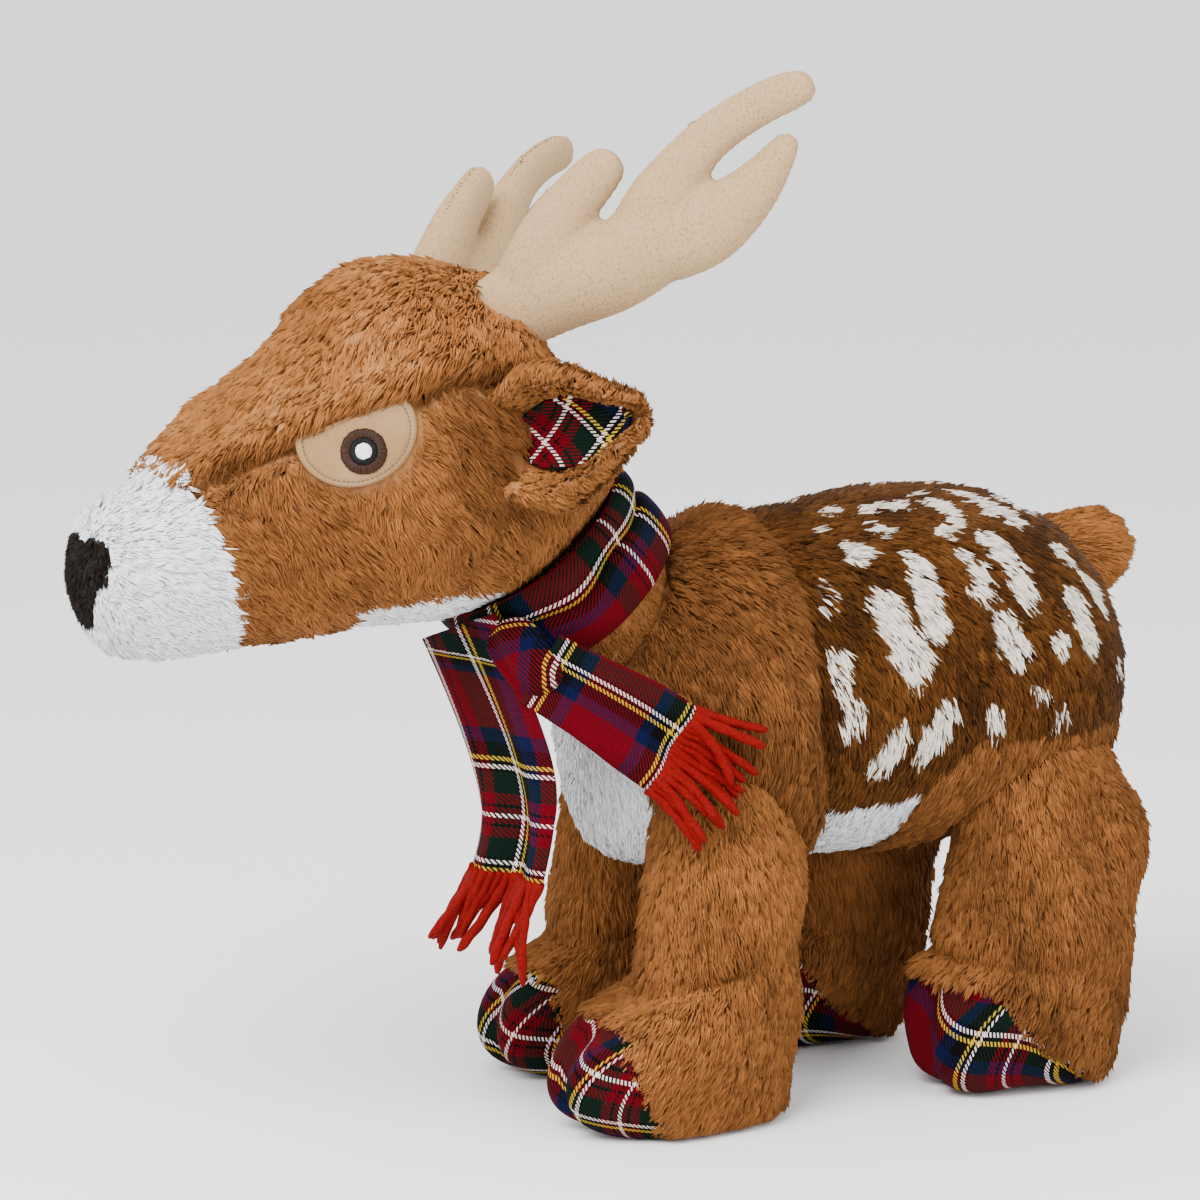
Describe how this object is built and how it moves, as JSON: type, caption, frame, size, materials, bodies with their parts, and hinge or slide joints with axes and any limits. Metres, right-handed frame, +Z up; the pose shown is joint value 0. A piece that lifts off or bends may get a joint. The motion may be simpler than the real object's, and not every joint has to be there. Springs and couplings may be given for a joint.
{
  "type": "plush deer",
  "caption": "Stuffed plush deer standing on four legs, with soft forked antlers, leaf ears, a short tail and a fringed checked scarf knotted round its neck.",
  "frame": {"origin": "on the floor below the middle of the part's box", "axes": "+Z up, the deer looks along -Y, and its left side is +X"},
  "size_m": [0.1833, 0.3964, 0.344],
  "materials": {
    "tan_plush": "deep pile plush",
    "spotted_plush": "deep pile plush with pale spots",
    "white_plush": "deep pile plush",
    "black_plush": "short pile plush",
    "filling": "loose polyester fibre",
    "suede_cloth": "microsuede, soft and matt",
    "checked_cloth": "twill woven check, matt",
    "red_yarn": "twisted acrylic yarn",
    "brown_thread": "satin stitch",
    "black_thread": "satin stitch",
    "white_thread": "satin stitch"
  },
  "bodies": {
    "torso": {"shoulder_skin": "tan_plush", "saddle_skin": "spotted_plush", "chest_and_belly_skin": "white_plush", "hip_skin": "tan_plush", "torso_stuffing": "filling", "neck_skin": "tan_plush", "neck_stuffing": "filling", "scarf_band": "checked_cloth", "scarf_knot": "checked_cloth", "left_front_leg_skin": "tan_plush", "left_front_hoof": "checked_cloth", "left_front_leg_stuffing": "filling", "right_front_leg_skin": "tan_plush", "right_front_hoof": "checked_cloth", "right_front_leg_stuffing": "filling", "left_hind_leg_skin": "tan_plush", "left_hind_hoof": "checked_cloth", "left_hind_leg_stuffing": "filling", "right_hind_leg_skin": "tan_plush", "right_hind_hoof": "checked_cloth", "right_hind_leg_stuffing": "filling"},
    "head": {"head_skin": "tan_plush", "muzzle_skin": "white_plush", "nose": "black_plush", "head_stuffing": "filling", "left_eye_patch": "suede_cloth", "left_eye_iris": "brown_thread", "left_eye_pupil": "black_thread", "left_eye_glint": "white_thread", "right_eye_patch": "suede_cloth", "right_eye_iris": "brown_thread", "right_eye_pupil": "black_thread", "right_eye_glint": "white_thread"},
    "left_antler": {"left_antler": "suede_cloth"},
    "right_antler": {"right_antler": "suede_cloth"},
    "left_ear": {"left_ear": "tan_plush", "left_ear_lining": "checked_cloth"},
    "right_ear": {"right_ear": "tan_plush", "right_ear_lining": "checked_cloth"},
    "tail": {"tail": "tan_plush"},
    "scarf_front_end": {"scarf_front_end": "checked_cloth", "scarf_front_fringe": "red_yarn"},
    "scarf_side_end": {"scarf_side_end": "checked_cloth", "scarf_side_fringe": "red_yarn"}
  },
  "joints": [
    {"name": "head_turn", "type": "hinge", "parent": "torso", "child": "head", "pos_m": [0, -0.038, 0.1935], "axis": [0, -0.6428, 0.766], "range_deg": [-20, 20], "stiffness_Nm_per_rad": 0.6},
    {"name": "left_antler_flex", "type": "hinge", "parent": "head", "child": "left_antler", "pos_m": [0.0235, -0.059, 0.2745], "axis": [-0.766, 0.6428, 0], "range_deg": [-12, 12], "stiffness_Nm_per_rad": 0.3},
    {"name": "right_antler_flex", "type": "hinge", "parent": "head", "child": "right_antler", "pos_m": [-0.0235, -0.059, 0.2745], "axis": [-0.766, -0.6428, 0], "range_deg": [-12, 12], "stiffness_Nm_per_rad": 0.3},
    {"name": "left_ear_fold", "type": "hinge", "parent": "head", "child": "left_ear", "pos_m": [0.0525, -0.066, 0.229], "axis": [-0.2067, -0.1558, 0.9659], "range_deg": [-20, 20], "stiffness_Nm_per_rad": 0.08},
    {"name": "right_ear_fold", "type": "hinge", "parent": "head", "child": "right_ear", "pos_m": [-0.0525, -0.066, 0.229], "axis": [-0.2067, 0.1558, -0.9659], "range_deg": [-20, 20], "stiffness_Nm_per_rad": 0.08},
    {"name": "tail_wag", "type": "hinge", "parent": "torso", "child": "tail", "pos_m": [0, 0.156, 0.178], "axis": [0, 0, 1], "range_deg": [-25, 25], "stiffness_Nm_per_rad": 0.1},
    {"name": "scarf_front_end_swing", "type": "hinge", "parent": "torso", "child": "scarf_front_end", "pos_m": [0.029, -0.0595, 0.15], "axis": [-0.9613, -0.2756, 0], "range_deg": [-12, 35]},
    {"name": "scarf_side_end_swing", "type": "hinge", "parent": "torso", "child": "scarf_side_end", "pos_m": [0.0425, -0.0505, 0.156], "axis": [0, -0.5592, -0.829], "range_deg": [0, 35]}
  ]
}
